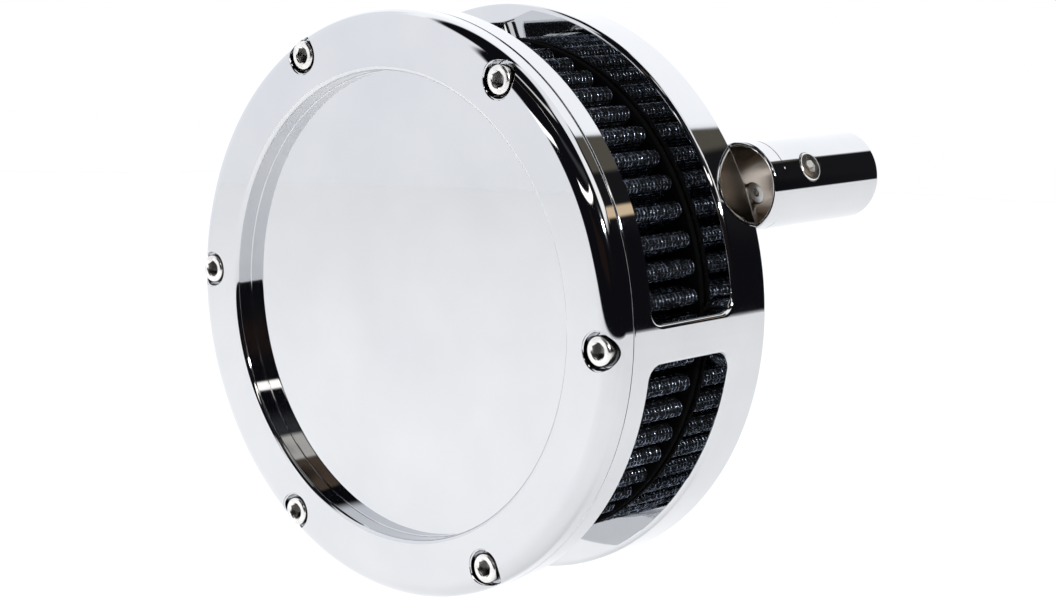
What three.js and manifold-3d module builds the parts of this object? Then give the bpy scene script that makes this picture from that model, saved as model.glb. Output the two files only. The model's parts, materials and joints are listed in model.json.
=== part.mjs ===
// Round chromed air cleaner for a V-twin motorcycle engine.
//
// Frame: millimetres, +Z up. The axis of the air cleaner is the Y axis, its cover faces -Y, and y = 0 is
// the rear face of the housing, the face that bolts to the throttle body.
// A cover held by six cap screws closes the front of a one-piece housing. Three large windows in the
// housing's side let air reach a pleated ring filter, and an inlet ring leads it out through the rear wall.
// Two open tubes behind the rear wall reach back to the cylinder heads.

import * as THREE from 'three';
import { mergeVertices } from 'three/addons/utils/BufferGeometryUtils.js';
import Module from 'manifold-3d';

const wasm = await Module();
wasm.setup();

// ---------------------------------------------------------------------------------------------------
// Driving dimensions
// ---------------------------------------------------------------------------------------------------

const GAP = 0.3; // between pieces that touch
const RIM_SEGMENTS = 60; // round the cover and the housing
const MEDIUM_SEGMENTS = 32; // round the inlet ring, the seals and the tubes
const SMALL_SEGMENTS = 12; // round a screw or a small hole
const SECTION_SEGMENTS = 6; // round a seal's section
const ARC_DIVISIONS = 1; // an arc in an outline becomes twice this many straight lines
const BEND_SEGMENTS = 3; // of a window's corner
const HEXAGON = 6;
const OVERRUN = 1; // of a cutter past the face it opens
const SEAL_GAP = 0.1; // between a seal and the floor of its groove
const WELD_DISTANCE = 1e-4; // closer points than this are one point

const BODY_RADIUS = 88.9; // cover and housing, seven inches across
const FRONT_Y = -68; // polished front face of the cover

const COVER = {
  seamY: -59.2, // its rear face
  edgeFillet: 5.3,
  seamChamfer: 0.4,
  recessRadius: 70.6,
  recessDepth: 5.9,
  recessFillet: 1.4,
};

const COVER_SCREW = {
  count: 6,
  circleRadius: 83,
  pocketRadius: 5.5,
  pocketDepth: 5,
  headRadius: 4.4,
  headHeight: 4.5,
  socketRadius: 2.6,
  socketDepth: 2.6,
  shankRadius: 2.5,
  shankLength: 9.8,
};

const HOUSING = {
  innerRadius: 79.6,
  windowFrontY: -51.9, // rear edge of the front ring
  wallY: -14.9, // front face of the rear wall
  boreRadius: 29,
  windowChamfer: 1.5,
  ribCount: 3,
  ribHalfWidth: 6,
  windowCornerRadius: 5.4,
  ribRootDepth: 6, // how far a rib's block starts inside the side wall
  ribOverlap: 3, // of a rib's block into the front ring and the rear wall
  screwHoleEndWall: 0.7, // left between a cover screw's hole and the window
  pocketInnerRadius: 50,
  pocketOuterRadius: 83,
  pocketDepth: 8,
};
const REAR_POCKETS_DEG = [[48, 132], [176, 262], [278, 364]]; // lightening pockets in the rear face

const INLET = {
  boreRadius: 25,
  mouthFillet: 6,
  flangeRadius: 45.5,
  frontY: -19,
  sleeveRadius: 28.7,
};

const THROTTLE_SCREW = {
  count: 3,
  circleRadius: 39,
  headRadius: 5,
  headHeight: 6,
  socketRadius: 2.9,
  socketDepth: 3,
  shankRadius: 3,
  shankLength: 31,
};
const THROTTLE_SCREW_ANGLES_DEG = [90, 210, 330];

const SEAL = { ringRadius: 32.7, sectionRadius: 1.35, grooveInner: 31, grooveOuter: 34.4, grooveDepth: 2.4 };

const FILTER = {
  outerRadius: 78.3,
  innerRadius: 59.3,
  frontCapThickness: 4.8,
  rearCapThickness: 2,
  capChamfer: 0.6,
};

const PLEAT = {
  count: 55,
  tipRadius: 75.4, // centre circle of the outer bends
  valleyRadius: 63, // centre circle of the inner bends
  bendRadius: 1.5, // of the middle surface
  mediaHalfThickness: 0.55,
  screenGap: 0.3,
  screenThickness: 0.35,
};

const TUBE = {
  axisRadius: 86.6, // from the air cleaner's axis
  angleDeg: 27.4, // above horizontal, right and left alike
  outerRadius: 13.4,
  innerRadius: 12,
  length: 51.2,
  jointLineY: 6.1,
  jointLineDepth: 0.3,
  lipChamfer: 0.5,
  crossHoleY: 18.3,
};

const ACCESS_PLUG = {
  radius: 4.4,
  holeRadius: 4.7,
  thickness: 1.8,
  proud: 0.1, // of the tube's outermost line
  socketRadius: 2.1,
  socketDepth: 1.1,
};
const RETAINING_SCREW = {
  headRadius: 3.6,
  headHeight: 2,
  seatRise: 0.9, // keeps the rim of the flat head clear of the round bore
  shankRadius: 2,
  shankLength: 9,
  socketRadius: 1.5,
};

const BUSH = { length: 14, holeRadius: 6.6, grooveInner: 7.6, grooveOuter: 9.8, grooveDepth: 1.4 };
const BUSH_SEAL = { ringRadius: 8.7, sectionRadius: 0.8 };

const BRACKET = {
  footInner: 46, // radial reach of the foot on the housing's rear face
  footHalfWidth: 11,
  footThickness: 6,
  saddleInner: 62,
  saddleHalfWidth: 8,
  saddleLength: 24,
  blindHoleWall: 4, // left behind the retaining screw's hole
};
const BRACKET_SCREW = {
  radius: 52,
  halfSpacing: 6.5,
  headRadius: 4.25,
  headHeight: 5,
  socketRadius: 2.3,
  socketDepth: 2.5,
  shankRadius: 2.5,
  shankLength: 20.4,
};
const SCREW_CLEARANCE = 0.3; // hole radius beyond the shank's

// ---------------------------------------------------------------------------------------------------
// Materials
// ---------------------------------------------------------------------------------------------------

const chrome = () => new THREE.MeshStandardMaterial({ color: 0xdfe2e6, metalness: 1, roughness: 0.05 });
const stainless = () => new THREE.MeshStandardMaterial({ color: 0xc8c4bd, metalness: 1, roughness: 0.25 });
const aluminium = () => new THREE.MeshStandardMaterial({ color: 0xb9bcc0, metalness: 1, roughness: 0.35 });
const rubber = () => new THREE.MeshStandardMaterial({ color: 0x151516, metalness: 0, roughness: 0.75 });
const gauze = () => new THREE.MeshStandardMaterial({ color: 0x11141c, metalness: 0, roughness: 0.95 });
const wireScreen = () => new THREE.MeshStandardMaterial({ color: 0x4a5260, metalness: 0.8, roughness: 0.4 });

// ---------------------------------------------------------------------------------------------------
// Solids
// ---------------------------------------------------------------------------------------------------

const radians = THREE.MathUtils.degToRad;

function toSolid(geometry) {
  const bare = geometry.clone();
  bare.deleteAttribute('normal');
  bare.deleteAttribute('uv');
  const merged = mergeVertices(bare, WELD_DISTANCE);
  return new wasm.Manifold(new wasm.Mesh({
    numProp: 3,
    vertProperties: new Float32Array(merged.attributes.position.array),
    triVerts: new Uint32Array(merged.index.array),
  }));
}

function toGeometry(solid) {
  const mesh = solid.getMesh();
  const geometry = new THREE.BufferGeometry();
  geometry.setAttribute('position', new THREE.BufferAttribute(mesh.vertProperties, 3));
  geometry.setIndex(new THREE.BufferAttribute(mesh.triVerts, 1));
  return geometry;
}

/** The first geometry with every one of the cutters taken out of it. */
function cut(geometry, cutters) {
  let solid = toSolid(geometry);
  for (const cutter of cutters) {
    solid = solid.subtract(toSolid(cutter));
  }
  return toGeometry(solid);
}

/** Both geometries as one body. */
function join(first, second) {
  return toGeometry(toSolid(first).add(toSolid(second)));
}

/** Revolves a path drawn in (radius, y) about the Y axis. */
function revolve(path, segments) {
  return new THREE.LatheGeometry(path.getPoints(ARC_DIVISIONS), segments);
}

/** A plain ring between two radii and two places along Y. */
function ring(innerRadius, outerRadius, frontY, rearY, segments) {
  const path = new THREE.Path();
  path.moveTo(innerRadius, frontY);
  path.lineTo(outerRadius, frontY);
  path.lineTo(outerRadius, rearY);
  path.lineTo(innerRadius, rearY);
  path.closePath();
  return revolve(path, segments);
}

/** A cylinder along Y from frontY to rearY, at (x, z). */
function rod(radius, frontY, rearY, x, z, segments = SMALL_SEGMENTS) {
  const geometry = new THREE.CylinderGeometry(radius, radius, rearY - frontY, segments);
  return geometry.translate(x, (frontY + rearY) / 2, z);
}

/** Places on a circle round the Y axis, at the angles given. */
function placesOnCircle(radius, anglesDeg) {
  return anglesDeg.map((angle) => ({
    x: radius * Math.cos(radians(angle)),
    z: radius * Math.sin(radians(angle)),
  }));
}

function equalAngles(count) {
  return Array.from({ length: count }, (_, i) => (360 / count) * i);
}

/** A cap screw along +Y with its seat, the underside of its head, at y = 0 and a hexagon socket. */
function capScrew({ headRadius, headHeight, socketRadius, socketDepth, shankRadius, shankLength }) {
  const edge = 0.4;
  const path = new THREE.Path();
  path.moveTo(0, -headHeight);
  path.lineTo(headRadius - edge, -headHeight);
  path.lineTo(headRadius, -headHeight + edge);
  path.lineTo(headRadius, 0);
  path.lineTo(shankRadius, 0);
  path.lineTo(shankRadius, shankLength - edge);
  path.lineTo(shankRadius - edge, shankLength);
  path.lineTo(0, shankLength);
  const socket = rod(socketRadius, -headHeight - OVERRUN, -headHeight + socketDepth, 0, 0, HEXAGON);
  return cut(revolve(path, SMALL_SEGMENTS), [socket]);
}

/** A torus round the Y axis. */
function sealRing({ ringRadius, sectionRadius }, segments) {
  return new THREE.TorusGeometry(ringRadius, sectionRadius, SECTION_SEGMENTS, segments).rotateX(Math.PI / 2);
}

function piece(name, geometry, material) {
  const mesh = new THREE.Mesh(geometry, material);
  mesh.name = name;
  return mesh;
}

// ---------------------------------------------------------------------------------------------------
// Cover
// ---------------------------------------------------------------------------------------------------

const pocketFloorY = FRONT_Y + COVER_SCREW.pocketDepth;
const coverScrewPlaces = placesOnCircle(COVER_SCREW.circleRadius, equalAngles(COVER_SCREW.count));
const coverScrewHoleRadius = COVER_SCREW.shankRadius + SCREW_CLEARANCE;

function coverBlank() {
  const { seamY, edgeFillet, seamChamfer, recessRadius, recessDepth, recessFillet } = COVER;
  const path = new THREE.Path();
  path.moveTo(0, FRONT_Y + recessDepth);
  path.lineTo(recessRadius, FRONT_Y + recessDepth);
  path.lineTo(recessRadius, FRONT_Y + recessFillet);
  const recessBend = recessRadius + recessFillet;
  const edgeBend = BODY_RADIUS - edgeFillet;
  path.absarc(recessBend, FRONT_Y + recessFillet, recessFillet, Math.PI, 1.5 * Math.PI);
  path.lineTo(edgeBend, FRONT_Y);
  path.absarc(edgeBend, FRONT_Y + edgeFillet, edgeFillet, 1.5 * Math.PI, 2 * Math.PI);
  path.lineTo(BODY_RADIUS, seamY - seamChamfer);
  path.lineTo(BODY_RADIUS - seamChamfer, seamY);
  path.lineTo(0, seamY);
  return revolve(path, RIM_SEGMENTS);
}

function cover() {
  const cutters = [];
  for (const { x, z } of coverScrewPlaces) {
    cutters.push(rod(COVER_SCREW.pocketRadius, FRONT_Y - OVERRUN, pocketFloorY, x, z));
    cutters.push(rod(coverScrewHoleRadius, pocketFloorY - OVERRUN, COVER.seamY + OVERRUN, x, z));
  }
  return piece('cover', cut(coverBlank(), cutters), chrome());
}

function coverScrews() {
  return coverScrewPlaces.map(({ x, z }, i) => {
    const screw = piece(`cover_screw_${i + 1}`, capScrew(COVER_SCREW), stainless());
    screw.position.set(x, pocketFloorY - GAP, z);
    return screw;
  });
}

// ---------------------------------------------------------------------------------------------------
// Housing
// ---------------------------------------------------------------------------------------------------

const housingFrontY = COVER.seamY + GAP;
const throttleScrewPlaces = placesOnCircle(THROTTLE_SCREW.circleRadius, THROTTLE_SCREW_ANGLES_DEG);
const sideAngles = { right: TUBE.angleDeg, left: 180 - TUBE.angleDeg };

/** Places of the two bracket screws of one side, in the housing's own X and Z. */
function bracketScrewPlaces(angleDeg) {
  const angle = radians(angleDeg);
  return [-1, 1].map((side) => {
    const across = side * BRACKET_SCREW.halfSpacing;
    return {
      x: BRACKET_SCREW.radius * Math.cos(angle) - across * Math.sin(angle),
      z: BRACKET_SCREW.radius * Math.sin(angle) + across * Math.cos(angle),
    };
  });
}

/** A deep cup, open to the front, with the bore in its rear wall. */
function housingBlank() {
  const { innerRadius, wallY, boreRadius } = HOUSING;
  const { seamChamfer } = COVER;
  const path = new THREE.Path();
  path.moveTo(innerRadius, housingFrontY);
  path.lineTo(BODY_RADIUS - seamChamfer, housingFrontY);
  path.lineTo(BODY_RADIUS, housingFrontY + seamChamfer);
  path.lineTo(BODY_RADIUS, -seamChamfer);
  path.lineTo(BODY_RADIUS - seamChamfer, 0);
  path.lineTo(boreRadius, 0);
  path.lineTo(boreRadius, wallY);
  path.lineTo(innerRadius, wallY);
  path.closePath();
  return revolve(path, RIM_SEGMENTS);
}

/** One rib, as a block along +X that flares where it meets the front ring and the rear wall. */
function ribBlock() {
  const { ribHalfWidth, ribRootDepth, ribOverlap, windowCornerRadius, windowChamfer } = HOUSING;
  const { windowFrontY, wallY, innerRadius } = HOUSING;
  const flare = ribHalfWidth + windowCornerRadius;
  const frontBend = windowFrontY + windowCornerRadius;
  const rearBend = wallY - windowCornerRadius;
  const shape = new THREE.Shape();
  shape.moveTo(flare, windowFrontY - ribOverlap);
  shape.lineTo(flare, windowFrontY);
  shape.absarc(flare, frontBend, windowCornerRadius, 1.5 * Math.PI, Math.PI, true);
  shape.absarc(flare, rearBend, windowCornerRadius, Math.PI, 0.5 * Math.PI, true);
  shape.lineTo(flare, wallY + ribOverlap);
  shape.lineTo(-flare, wallY + ribOverlap);
  shape.absarc(-flare, rearBend, windowCornerRadius, 0.5 * Math.PI, 0, true);
  shape.absarc(-flare, frontBend, windowCornerRadius, 0, -0.5 * Math.PI, true);
  shape.lineTo(-flare, windowFrontY - ribOverlap);
  shape.closePath();
  const startRadius = innerRadius - ribRootDepth;
  const block = new THREE.ExtrudeGeometry(shape, {
    depth: BODY_RADIUS - startRadius - 2 * windowChamfer,
    bevelEnabled: true,
    bevelThickness: windowChamfer,
    bevelSize: windowChamfer,
    bevelOffset: -windowChamfer,
    bevelSegments: 1,
    curveSegments: BEND_SEGMENTS,
  });
  block.translate(0, 0, startRadius + windowChamfer);
  return block.rotateY(Math.PI / 2);
}

/** Everything that is open between the front ring and the rear wall: a ring less the ribs. */
function windowCutter() {
  const { innerRadius, windowFrontY, wallY, windowChamfer, ribCount } = HOUSING;
  const reach = 2; // past both faces of the side wall
  const path = new THREE.Path();
  path.moveTo(innerRadius - reach, windowFrontY);
  path.lineTo(BODY_RADIUS + reach, windowFrontY);
  path.lineTo(BODY_RADIUS + reach, wallY + windowChamfer + reach);
  path.lineTo(BODY_RADIUS - windowChamfer, wallY);
  path.lineTo(innerRadius - reach, wallY);
  path.closePath();
  const ribs = equalAngles(ribCount).map((angle) => ribBlock().rotateY(-radians(angle)));
  return cut(revolve(path, RIM_SEGMENTS), ribs);
}

/** A pocket cut forward from the rear face, between two angles. */
function rearPocket([startDeg, endDeg]) {
  const { pocketInnerRadius, pocketOuterRadius, pocketDepth } = HOUSING;
  const shape = new THREE.Shape();
  shape.absarc(0, 0, pocketOuterRadius, radians(startDeg), radians(endDeg), false);
  shape.absarc(0, 0, pocketInnerRadius, radians(endDeg), radians(startDeg), true);
  shape.closePath();
  const block = new THREE.ExtrudeGeometry(shape, {
    depth: pocketDepth + OVERRUN,
    bevelEnabled: false,
    curveSegments: SMALL_SEGMENTS,
  });
  return block.rotateX(Math.PI / 2).translate(0, OVERRUN, 0);
}

function housing() {
  const screwHoleEndY = HOUSING.windowFrontY - HOUSING.screwHoleEndWall;
  const cutters = [windowCutter()];
  for (const { x, z } of coverScrewPlaces) {
    cutters.push(rod(coverScrewHoleRadius, housingFrontY - OVERRUN, screwHoleEndY, x, z));
  }
  const throughWall = (shankRadius, { x, z }) =>
    rod(shankRadius + SCREW_CLEARANCE, HOUSING.wallY - OVERRUN, OVERRUN, x, z);
  for (const place of throttleScrewPlaces) {
    cutters.push(throughWall(THROTTLE_SCREW.shankRadius, place));
  }
  for (const angleDeg of Object.values(sideAngles)) {
    for (const place of bracketScrewPlaces(angleDeg)) {
      cutters.push(throughWall(BRACKET_SCREW.shankRadius, place));
    }
  }
  cutters.push(ring(SEAL.grooveInner, SEAL.grooveOuter, -SEAL.grooveDepth, OVERRUN, MEDIUM_SEGMENTS));
  cutters.push(...REAR_POCKETS_DEG.map(rearPocket));
  return piece('housing', cut(housingBlank(), cutters), chrome());
}

// ---------------------------------------------------------------------------------------------------
// Inlet ring and throttle body joint
// ---------------------------------------------------------------------------------------------------

/** A flanged sleeve with a rounded mouth that leads the air into the throttle body. */
function inletRing() {
  const { boreRadius, mouthFillet, flangeRadius, frontY, sleeveRadius } = INLET;
  const seatY = HOUSING.wallY - GAP;
  const edge = 1;
  const path = new THREE.Path();
  path.moveTo(boreRadius, -GAP);
  path.lineTo(boreRadius, frontY + mouthFillet);
  path.absarc(boreRadius + mouthFillet, frontY + mouthFillet, mouthFillet, Math.PI, 1.5 * Math.PI);
  path.lineTo(flangeRadius - edge, frontY);
  path.lineTo(flangeRadius, frontY + edge);
  path.lineTo(flangeRadius, seatY);
  path.lineTo(sleeveRadius, seatY);
  path.lineTo(sleeveRadius, -GAP);
  path.closePath();
  const holeRadius = THROTTLE_SCREW.shankRadius + SCREW_CLEARANCE;
  const holes = throttleScrewPlaces.map(({ x, z }) =>
    rod(holeRadius, frontY - OVERRUN, seatY + OVERRUN, x, z));
  return piece('inlet_ring', cut(revolve(path, MEDIUM_SEGMENTS), holes), aluminium());
}

function throttleScrews() {
  return throttleScrewPlaces.map(({ x, z }, i) => {
    const screw = piece(`throttle_screw_${i + 1}`, capScrew(THROTTLE_SCREW), stainless());
    screw.position.set(x, INLET.frontY - GAP, z);
    return screw;
  });
}

function throttleSeal() {
  const seal = piece('throttle_seal', sealRing(SEAL, MEDIUM_SEGMENTS), rubber());
  seal.position.y = -SEAL.grooveDepth + SEAL.sectionRadius + SEAL_GAP;
  return seal;
}

// ---------------------------------------------------------------------------------------------------
// Filter
// ---------------------------------------------------------------------------------------------------

const filterFrontY = COVER.seamY + GAP;
const filterRearY = HOUSING.wallY - GAP;
const frontCapRearY = filterFrontY + FILTER.frontCapThickness;
const rearCapFrontY = filterRearY - FILTER.rearCapThickness;

function filterCap(name, frontY, rearY) {
  const { outerRadius, innerRadius, capChamfer } = FILTER;
  const path = new THREE.Path();
  path.moveTo(innerRadius, frontY);
  path.lineTo(outerRadius - capChamfer, frontY);
  path.lineTo(outerRadius, frontY + capChamfer);
  path.lineTo(outerRadius, rearY - capChamfer);
  path.lineTo(outerRadius - capChamfer, rearY);
  path.lineTo(innerRadius, rearY);
  path.closePath();
  return piece(name, revolve(path, RIM_SEGMENTS), rubber());
}

/** The pleats' outline at a distance outside (+) or inside (-) of the middle surface. */
function pleatOutline(offset) {
  const points = [];
  const pitch = (2 * Math.PI) / PLEAT.count;
  const addBend = (centreRadius, angle, halfWidth, outward) => {
    const radius = centreRadius + outward * halfWidth;
    for (const across of [-halfWidth, halfWidth]) {
      points.push(new THREE.Vector2(radius, across).rotateAround(new THREE.Vector2(), angle));
    }
  };
  for (let i = 0; i < PLEAT.count; i += 1) {
    addBend(PLEAT.tipRadius, i * pitch, PLEAT.bendRadius + offset, 1);
    addBend(PLEAT.valleyRadius, (i + 0.5) * pitch, PLEAT.bendRadius - offset, -1);
  }
  return points;
}

/** A pleated sleeve between two offsets from the pleats' middle surface. */
function pleatedSleeve(name, innerOffset, outerOffset, material) {
  const shape = new THREE.Shape(pleatOutline(outerOffset));
  shape.holes.push(new THREE.Path(pleatOutline(innerOffset)));
  const frontY = frontCapRearY + GAP;
  const rearY = rearCapFrontY - GAP;
  const sleeve = new THREE.ExtrudeGeometry(shape, { depth: rearY - frontY, bevelEnabled: false });
  sleeve.rotateX(Math.PI / 2).translate(0, rearY, 0);
  return piece(name, sleeve, material);
}

function filter() {
  const { mediaHalfThickness, screenGap, screenThickness } = PLEAT;
  const screenInner = mediaHalfThickness + screenGap;
  const screenOuter = screenInner + screenThickness;
  return [
    filterCap('filter_front_cap', filterFrontY, frontCapRearY),
    filterCap('filter_rear_cap', rearCapFrontY, filterRearY),
    pleatedSleeve('filter_media', -mediaHalfThickness, mediaHalfThickness, gauze()),
    pleatedSleeve('filter_outer_screen', screenInner, screenOuter, wireScreen()),
    pleatedSleeve('filter_inner_screen', -screenOuter, -screenInner, wireScreen()),
  ];
}

// ---------------------------------------------------------------------------------------------------
// Tubes and their brackets. Each side is built with +X pointing away from the air cleaner's axis.
// ---------------------------------------------------------------------------------------------------

const tubeFrontY = GAP;
const tubeRearY = tubeFrontY + TUBE.length;

/** A cylinder along X, from x0 to x1, at the height of the tube's cross holes. */
function crossRod(radius, x0, x1, segments = SMALL_SEGMENTS) {
  const rodGeometry = new THREE.CylinderGeometry(radius, radius, x1 - x0, segments);
  return rodGeometry.rotateZ(Math.PI / 2).translate((x0 + x1) / 2, TUBE.crossHoleY, 0);
}

/** An open tube with a turned line near its front and cross holes for its screw and its plug. */
function tube(side) {
  const { axisRadius, outerRadius, innerRadius, jointLineY, jointLineDepth, lipChamfer } = TUBE;
  const path = new THREE.Path();
  path.moveTo(innerRadius + lipChamfer, tubeFrontY);
  path.lineTo(outerRadius - lipChamfer, tubeFrontY);
  path.lineTo(outerRadius, tubeFrontY + lipChamfer);
  path.lineTo(outerRadius, jointLineY - jointLineDepth);
  path.lineTo(outerRadius - jointLineDepth, jointLineY);
  path.lineTo(outerRadius, jointLineY + jointLineDepth);
  path.lineTo(outerRadius, tubeRearY - lipChamfer);
  path.lineTo(outerRadius - lipChamfer, tubeRearY);
  path.lineTo(innerRadius, tubeRearY);
  path.lineTo(innerRadius, tubeFrontY + lipChamfer);
  path.closePath();
  const body = revolve(path, MEDIUM_SEGMENTS).translate(axisRadius, 0, 0);
  const plugHole = crossRod(ACCESS_PLUG.holeRadius, axisRadius, axisRadius + outerRadius + OVERRUN);
  const screwHoleRadius = RETAINING_SCREW.shankRadius + SCREW_CLEARANCE;
  const screwHole = crossRod(screwHoleRadius, axisRadius - outerRadius - OVERRUN, axisRadius);
  return piece(`breather_tube_${side}`, cut(body, [plugHole, screwHole]), chrome());
}

/** The hexagon-socket plug that closes the access hole in the outer side of the tube. */
function accessPlug(side) {
  const { radius, thickness, proud, socketRadius, socketDepth } = ACCESS_PLUG;
  const outerX = TUBE.axisRadius + TUBE.outerRadius + proud;
  const body = crossRod(radius, outerX - thickness, outerX);
  const socket = crossRod(socketRadius, outerX - socketDepth, outerX + OVERRUN, HEXAGON);
  return piece(`tube_access_plug_${side}`, cut(body, [socket]), stainless());
}

/** The screw inside the tube that holds it to the saddle of its bracket. */
function retainingScrew(side) {
  const { headRadius, headHeight, seatRise, shankRadius, shankLength, socketRadius } = RETAINING_SCREW;
  const seatX = TUBE.axisRadius - TUBE.innerRadius + seatRise;
  const head = crossRod(headRadius, seatX, seatX + headHeight);
  const shank = crossRod(shankRadius, seatX - shankLength, seatX + headHeight / 2);
  const headTopX = seatX + headHeight;
  const socket = crossRod(socketRadius, seatX + headHeight / 2, headTopX + OVERRUN, HEXAGON);
  return piece(`tube_retaining_screw_${side}`, cut(join(head, shank), [socket]), stainless());
}

/** The foot on the housing's rear wall, with a saddle that the tube lies against. */
function bracket(side) {
  const { footInner, footHalfWidth, footThickness } = BRACKET;
  const { saddleInner, saddleHalfWidth, saddleLength, blindHoleWall } = BRACKET;
  const { axisRadius, outerRadius } = TUBE;
  const clearance = outerRadius + GAP;
  const saddleOuter = axisRadius - Math.sqrt(clearance ** 2 - saddleHalfWidth ** 2);
  const footOuter = axisRadius - clearance;
  const frontY = GAP;
  const foot = new THREE.BoxGeometry(footOuter - footInner, footThickness, 2 * footHalfWidth);
  foot.translate((footOuter + footInner) / 2, frontY + footThickness / 2, 0);
  const saddle = new THREE.BoxGeometry(saddleOuter - saddleInner, saddleLength, 2 * saddleHalfWidth);
  saddle.translate((saddleOuter + saddleInner) / 2, frontY + saddleLength / 2, 0);
  const saddleRearY = frontY + saddleLength;
  const footRearY = frontY + footThickness;
  const blindHoleRadius = RETAINING_SCREW.shankRadius + SCREW_CLEARANCE;
  const cutters = [
    rod(clearance, frontY - OVERRUN, saddleRearY + OVERRUN, axisRadius, 0, MEDIUM_SEGMENTS),
    crossRod(blindHoleRadius, saddleInner + blindHoleWall, axisRadius),
  ];
  for (const across of [-BRACKET_SCREW.halfSpacing, BRACKET_SCREW.halfSpacing]) {
    const holeRadius = BRACKET_SCREW.shankRadius + SCREW_CLEARANCE;
    const hole = rod(holeRadius, frontY - OVERRUN, footRearY + OVERRUN, BRACKET_SCREW.radius, across);
    cutters.push(hole);
  }
  return piece(`tube_bracket_${side}`, cut(join(foot, saddle), cutters), aluminium());
}

function bracketScrews(side) {
  return [-1, 1].map((across, i) => {
    const screw = piece(`bracket_screw_${side}_${i + 1}`, capScrew(BRACKET_SCREW), stainless());
    screw.position.set(BRACKET_SCREW.radius, HOUSING.wallY - GAP, across * BRACKET_SCREW.halfSpacing);
    return screw;
  });
}

/** The solid end of the tube that its bolt goes through, with a groove for a seal in its rear face. */
function endBush(side) {
  const { length, holeRadius, grooveInner, grooveOuter, grooveDepth } = BUSH;
  const frontY = tubeRearY - length;
  const path = new THREE.Path();
  path.moveTo(holeRadius, frontY);
  path.lineTo(TUBE.innerRadius - GAP, frontY);
  path.lineTo(TUBE.innerRadius - GAP, tubeRearY);
  path.lineTo(grooveOuter, tubeRearY);
  path.lineTo(grooveOuter, tubeRearY - grooveDepth);
  path.lineTo(grooveInner, tubeRearY - grooveDepth);
  path.lineTo(grooveInner, tubeRearY);
  path.lineTo(holeRadius, tubeRearY);
  path.closePath();
  const body = revolve(path, MEDIUM_SEGMENTS).translate(TUBE.axisRadius, 0, 0);
  return piece(`tube_end_bush_${side}`, body, aluminium());
}

function endSeal(side) {
  const seal = piece(`tube_end_seal_${side}`, sealRing(BUSH_SEAL, SMALL_SEGMENTS), rubber());
  const seatY = tubeRearY - BUSH.grooveDepth;
  seal.position.set(TUBE.axisRadius, seatY + BUSH_SEAL.sectionRadius + SEAL_GAP, 0);
  return seal;
}

function tubeSide(side) {
  const group = new THREE.Group();
  group.rotation.y = -radians(sideAngles[side]);
  group.add(tube(side), accessPlug(side), retainingScrew(side), bracket(side));
  group.add(...bracketScrews(side), endBush(side), endSeal(side));
  return group;
}

// ---------------------------------------------------------------------------------------------------
// Assembly
// ---------------------------------------------------------------------------------------------------

const airCleaner = new THREE.Group();
airCleaner.add(cover(), ...coverScrews());
airCleaner.add(housing(), inletRing(), ...throttleScrews(), throttleSeal());
airCleaner.add(...filter());
airCleaner.add(tubeSide('right'), tubeSide('left'));

export default airCleaner;
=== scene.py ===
"""Looks of a round chromed air cleaner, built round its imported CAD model.

Shapes are worked out in millimetres in the CAD's frame: the axis is Y, the cover faces -Y, y = 0 is the
rear face of the housing. Each piece is turned into metres when it is placed.
"""

import json
import math
import random

import bmesh
import bpy
import numpy as np
from mathutils import Matrix, Vector

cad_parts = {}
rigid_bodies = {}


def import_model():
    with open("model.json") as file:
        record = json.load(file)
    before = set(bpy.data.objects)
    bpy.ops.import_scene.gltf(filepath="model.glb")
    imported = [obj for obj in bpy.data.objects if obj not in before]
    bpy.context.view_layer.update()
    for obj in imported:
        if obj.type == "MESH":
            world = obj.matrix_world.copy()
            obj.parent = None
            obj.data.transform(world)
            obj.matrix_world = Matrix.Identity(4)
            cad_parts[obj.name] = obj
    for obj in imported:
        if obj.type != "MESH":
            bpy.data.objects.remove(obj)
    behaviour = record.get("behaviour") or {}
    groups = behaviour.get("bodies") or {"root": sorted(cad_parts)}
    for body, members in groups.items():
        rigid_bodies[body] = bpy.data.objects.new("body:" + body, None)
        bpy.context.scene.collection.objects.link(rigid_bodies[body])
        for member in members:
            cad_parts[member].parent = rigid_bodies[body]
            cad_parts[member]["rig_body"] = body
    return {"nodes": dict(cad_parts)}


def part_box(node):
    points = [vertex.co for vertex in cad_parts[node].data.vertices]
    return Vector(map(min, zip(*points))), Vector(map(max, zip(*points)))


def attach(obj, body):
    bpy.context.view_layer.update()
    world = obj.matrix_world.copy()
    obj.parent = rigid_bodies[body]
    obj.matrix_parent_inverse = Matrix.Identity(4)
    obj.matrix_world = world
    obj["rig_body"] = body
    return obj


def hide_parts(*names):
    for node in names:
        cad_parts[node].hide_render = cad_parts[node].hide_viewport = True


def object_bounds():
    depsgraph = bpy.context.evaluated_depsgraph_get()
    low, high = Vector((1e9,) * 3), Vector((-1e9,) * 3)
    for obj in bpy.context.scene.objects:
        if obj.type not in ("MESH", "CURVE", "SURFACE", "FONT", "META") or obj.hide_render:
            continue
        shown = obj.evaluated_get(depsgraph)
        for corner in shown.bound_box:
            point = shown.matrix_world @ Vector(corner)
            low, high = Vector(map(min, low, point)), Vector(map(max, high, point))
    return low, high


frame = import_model()
cad_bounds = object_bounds()

MM = 0.001
TAU = 2 * math.pi
TINY = 1e-6

# ---- Places and sizes taken from the frame, in millimetres ----


def box_mm(node):
    """Lowest and highest corner of a CAD node, and the middle between them."""
    low, high = (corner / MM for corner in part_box(node))
    return low, high, (low + high) / 2


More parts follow.
